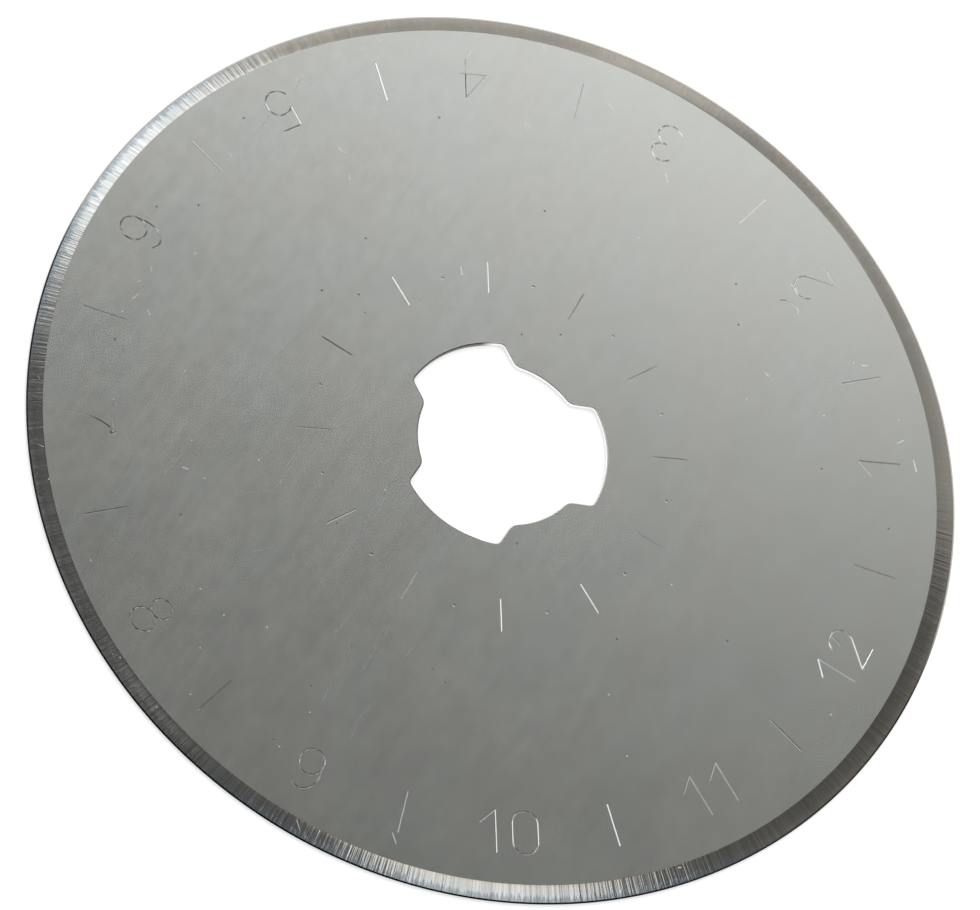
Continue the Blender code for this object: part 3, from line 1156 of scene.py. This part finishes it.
@dataclass
class Blade:
    """The whole blade: its body, what is cut into it and its finishes."""

    body: BladeBody = field(default_factory=BladeBody)
    groove_width: float = 0.08 * MM
    groove_depth: float = 0.013 * MM
    crease: float = math.radians(40.0)
    groove_crease: float = math.radians(6.0)

    def cut(self, blade: bpy.types.Object, cutters: list[bpy.types.Object]) -> None:
        """Cuts marks into the blade and takes the cutters away again.

        Args:
            blade: The plain body.
            cutters: What is cut out of it.
        """
        tray = bpy.data.collections.new("cutters")
        bpy.context.scene.collection.children.link(tray)
        for cutter in cutters:
            tray.objects.link(cutter)
        boolean = blade.modifiers.new("marks", "BOOLEAN")
        boolean.operation = "DIFFERENCE"
        boolean.solver = "EXACT"
        boolean.operand_type = "COLLECTION"
        boolean.collection = tray
        bpy.context.view_layer.update()
        graph = bpy.context.evaluated_depsgraph_get()
        cut = bpy.data.meshes.new_from_object(blade.evaluated_get(graph))
        blade.modifiers.clear()
        blade.data = cut
        for cutter in cutters:
            bpy.data.objects.remove(cutter, do_unlink=True)
        bpy.data.collections.remove(tray)

    def smooth(self, blade: bpy.types.Object) -> None:
        """Shades each finish smoothly up to where it meets another or turns sharply."""
        shape = bmesh.new()
        shape.from_mesh(blade.data)
        bmesh.ops.remove_doubles(shape, verts=shape.verts, dist=WELD)
        for face in shape.faces:
            face.smooth = True
        cut = {Finish.STRUCK.value, Finish.NICKED.value, Finish.SCRATCHED.value}
        for edge in shape.edges:
            finishes = {face.material_index for face in edge.link_faces}
            limit = self.groove_crease if finishes & cut else self.crease
            edge.smooth = len(finishes) == 1 and edge.calc_face_angle(0.0) < limit
        shape.to_mesh(blade.data)
        shape.free()

    def finishes(self) -> dict[Finish, bpy.types.Material]:
        """Builds the blade's materials."""
        body = self.body
        return {
            Finish.ROLLED: RolledSteel().material(),
            Finish.GROUND: GroundSteel(body.flat_radius, body.radius).material(),
            Finish.HONED: HonedSteel().material(),
            Finish.SHEARED: ShearedSteel(body.hole_round).material(),
            # The grooves and nicks get painted shade that darkens them toward one side of the blade.
            Finish.STRUCK: WorkedSteel(
                "struck_groove", (0.86, 0.86, 0.84), (0.97, 0.97, 0.95), 0.16, dull_level=0.55
            ).material(),
            # The nicks and specks are real marks; their near-white, mostly non-metallic colour is a painted
            # glint.
            Finish.NICKED: WorkedSteel(
                "nick_burr_glint", (0.80, 0.80, 0.78), (0.92, 0.92, 0.90), 0.5, metallic=0.2, dull_level=0.65
            ).material(),
            Finish.PITTED: WorkedSteel("dark_pit", (0.20, 0.20, 0.18), (0.34, 0.34, 0.31), 0.45).material(),
            Finish.SCRATCHED: WorkedSteel("hairline", (0.38, 0.38, 0.36), (0.46, 0.46, 0.43), 0.3).material(),
        }

    def build(self) -> bpy.types.Object:
        """Builds and dresses the blade.

        Returns:
            The finished piece.
        """
        body = self.body
        blade = body.build()
        materials = self.finishes()
        for finish in Finish:
            blade.data.materials.append(materials[finish])
        groove = Scriber(self.groove_width, self.groove_depth, Finish.STRUCK)
        dot = Punch(0.16 * MM, 0.03 * MM, Finish.STRUCK)
        dial = Dial(body.thickness, body.flat_radius, body.hole.bore / 2 + body.hole.slot_depth, groove, dot)
        wear = Wear(
            body,
            groove,
            Scriber(0.055 * MM, 0.008 * MM, Finish.NICKED),
            Scriber(0.035 * MM, 0.0005 * MM, Finish.SCRATCHED),
            Punch(0.085 * MM, 0.010 * MM, Finish.NICKED, 6),
            Punch(0.10 * MM, 0.015 * MM, Finish.PITTED, 6),
        )
        self.cut(blade, dial.cutters() + wear.cutters())
        self.smooth(blade)
        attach(blade, BODY)
        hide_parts(CAD_NODE)
        return blade


@dataclass(frozen=True)
class SoftLight:
    """A rectangular soft light that faces the blade."""

    name: str
    x: float
    y: float
    width: float
    height: float
    roll: float
    radiance: float
    colour: Colour = (1.0, 1.0, 1.0)
    distance: float = 0.8

    def build(self) -> bpy.types.Object:
        """Hangs the light."""
        lamp = bpy.data.lights.new(self.name, "AREA")
        lamp.shape = "RECTANGLE"
        lamp.size = self.width
        lamp.size_y = self.height
        lamp.energy = self.radiance * math.pi * self.width * self.height
        lamp.color = self.colour
        holder = bpy.data.objects.new(self.name, lamp)
        direction = Vector((self.x, self.y, math.sqrt(1 - self.x**2 - self.y**2)))
        facing = direction.to_track_quat("Z", "Y").to_matrix().to_4x4()
        turn = Matrix.Rotation(math.radians(self.roll), 4, "Z")
        holder.matrix_world = Matrix.Translation(direction * self.distance) @ facing @ turn
        bpy.context.scene.collection.objects.link(holder)
        return holder


@dataclass(frozen=True)
class ViewPoint:
    """The camera, over the blade's -Y side and looking down on it."""

    place: tuple[float, float, float] = (-0.21911 * MM, -112.74653 * MM, 203.0957 * MM)
    right: tuple[float, float, float] = (0.81903, 0.50226, 0.27735)
    up: tuple[float, float, float] = (-0.57375, 0.71730, 0.39535)
    back: tuple[float, float, float] = (-0.00038, -0.48293, 0.87566)
    focal_pixels: float = 4982.66
    picture_width: float = 980.0
    sensor: float = 36.0

    def build(self) -> bpy.types.Object:
        """Sets up the camera as the scene's own."""
        camera = bpy.data.cameras.new("camera")
        camera.sensor_width = self.sensor
        camera.lens = self.focal_pixels * self.sensor / self.picture_width
        camera.clip_start = 0.01
        camera.clip_end = 20.0
        camera.shift_x = -0.5 / self.picture_width
        camera.shift_y = 0.5 / self.picture_width
        holder = bpy.data.objects.new("camera", camera)
        axes = Matrix((self.right, self.up, self.back)).transposed()
        holder.matrix_world = Matrix.Translation(self.place) @ axes.to_4x4()
        bpy.context.scene.collection.objects.link(holder)
        bpy.context.scene.camera = holder
        return holder


@dataclass(frozen=True)
class Studio:
    """Floor, world and lights."""

    floor_size: float = 3.0
    floor_drop: float = 0.02 * MM
    floor_colour: Colour = (0.8, 0.8, 0.8)
    floor_glow: float = 0.45
    ambient: float = 0.75
    overhead: float = 0.155
    front: float = 0.071
    front_ends: tuple[float, float] = (-0.3, 0.15)
    white_ends: tuple[float, float] = (0.276, 0.446)

    def world(self) -> None:
        """A white surround that darkens overhead in what metal mirrors."""
        world = bpy.data.worlds.new("studio")
        bpy.context.scene.world = world
        graph = Graph(world)
        rays = graph.node("ShaderNodeLightPath", {}, {})
        direction = graph.node("ShaderNodeTexCoord", {}, {}).outputs["Generated"]
        _, depth, height = graph.split(direction)
        high = self.overhead * (self.front + (1.0 - self.front) * depth.rise(*self.front_ends))
        dome = 1.0 + (high - 1.0) * height.rise(*self.white_ends)
        seen = Signal(graph, rays.outputs["Is Camera Ray"])
        mirrored = Signal(graph, rays.outputs["Is Glossy Ray"])
        through = Signal(graph, rays.outputs["Is Transmission Ray"])
        plain = (seen + through).capped()
        level = plain + (1.0 - plain) * (mirrored * dome + (1.0 - mirrored) * self.ambient)
        shader = graph.node("ShaderNodeBackground", {}, {"Color": (1.0, 1.0, 1.0, 1.0), "Strength": level})
        graph.show(shader, "ShaderNodeOutputWorld")

    def floor(self) -> bpy.types.Object:
        """A pale floor that keeps the blade's shadow and isn't there from below."""
        shape = bmesh.new()
        drop = Matrix.Translation(UP * -self.floor_drop)
        bmesh.ops.create_grid(shape, x_segments=1, y_segments=1, size=self.floor_size / 2, matrix=drop)
        mesh = bpy.data.meshes.new("floor")
        shape.to_mesh(mesh)
        shape.free()
        floor = bpy.data.objects.new("floor", mesh)
        bpy.context.scene.collection.objects.link(floor)
        material = bpy.data.materials.new("floor")
        mesh.materials.append(material)
        graph = Graph(material)
        rays = graph.node("ShaderNodeLightPath", {}, {})
        seen = Signal(graph, rays.outputs["Is Camera Ray"])
        mirrored = Signal(graph, rays.outputs["Is Glossy Ray"])
        through = Signal(graph, rays.outputs["Is Transmission Ray"])
        glow = (seen + mirrored + through).capped() * self.floor_glow
        values = {
            "Base Color": opaque(self.floor_colour),
            "Roughness": 1.0,
            "Specular IOR Level": 0.0,
            "Emission Color": (1.0, 1.0, 1.0, 1.0),
            "Emission Strength": glow,
        }
        pale = graph.node("ShaderNodeBsdfPrincipled", {}, values)
        clear = graph.node("ShaderNodeBsdfTransparent", {}, {})
        below = graph.node("ShaderNodeNewGeometry", {}, {}).outputs["Backfacing"]
        both = graph.node("ShaderNodeMixShader", {}, {0: below, 1: pale.outputs[0], 2: clear.outputs[0]})
        graph.show(both)
        return floor

    def lights(self) -> list[bpy.types.Object]:
        """Hangs the soft lights."""
        lights = (
            SoftLight("long_softbox", -0.160, 0.591, 0.169, 0.520, 92.9, 1.85, (0.99, 1.0, 1.04)),
            SoftLight("back_fill", -0.185, 0.755, 0.190, 0.260, -57.6, 0.46),
            SoftLight("overhead", 0.194, 0.167, 0.140, 0.160, 4.7, 1.45),
            SoftLight("low_back", 0.200, 0.800, 0.794, 0.373, -113.5, 0.305),
            SoftLight("front_strip", -0.375, 0.063, 0.085, 0.365, -32.5, 2.1),
            SoftLight("side_fill", -0.388, 0.385, 0.090, 0.110, 0.0, 0.45),
            SoftLight("side_spot", -0.500, 0.352, 0.080, 0.130, 0.0, 0.8),
            SoftLight("corner_fill", -0.280, 0.830, 0.120, 0.100, 0.0, 0.5),
            SoftLight("right_fill", 0.530, 0.430, 0.200, 0.150, 0.0, 0.42),
            SoftLight("left_fill", -0.335, 0.645, 0.070, 0.080, 0.0, 0.35),
            SoftLight("front_fill", 0.170, -0.080, 0.260, 0.110, 0.0, 0.38),
            SoftLight("front_spot", -0.140, -0.010, 0.110, 0.060, 0.0, 0.8),
            SoftLight("edge_fill", -0.475, 0.650, 0.160, 0.120, 0.0, 0.85),
        )
        return [light.build() for light in lights]

    def build(self) -> None:
        """Sets up the studio."""
        self.world()
        self.floor()
        for light in self.lights():
            log.info("light %s", light.name)
        view = bpy.context.scene.view_settings
        view.view_transform = "Standard"


def report(piece: bpy.types.Object) -> None:
    """Logs a piece's name and how many faces it has."""
    log.info("piece %s has %d faces", piece.name, len(piece.data.polygons))


def main() -> None:
    """Builds the studio and the blade."""
    camera = ViewPoint().build()
    log.info("camera %s", camera.name)
    Studio().build()
    report(Blade().build())


if __name__ == "__main__":
    main()
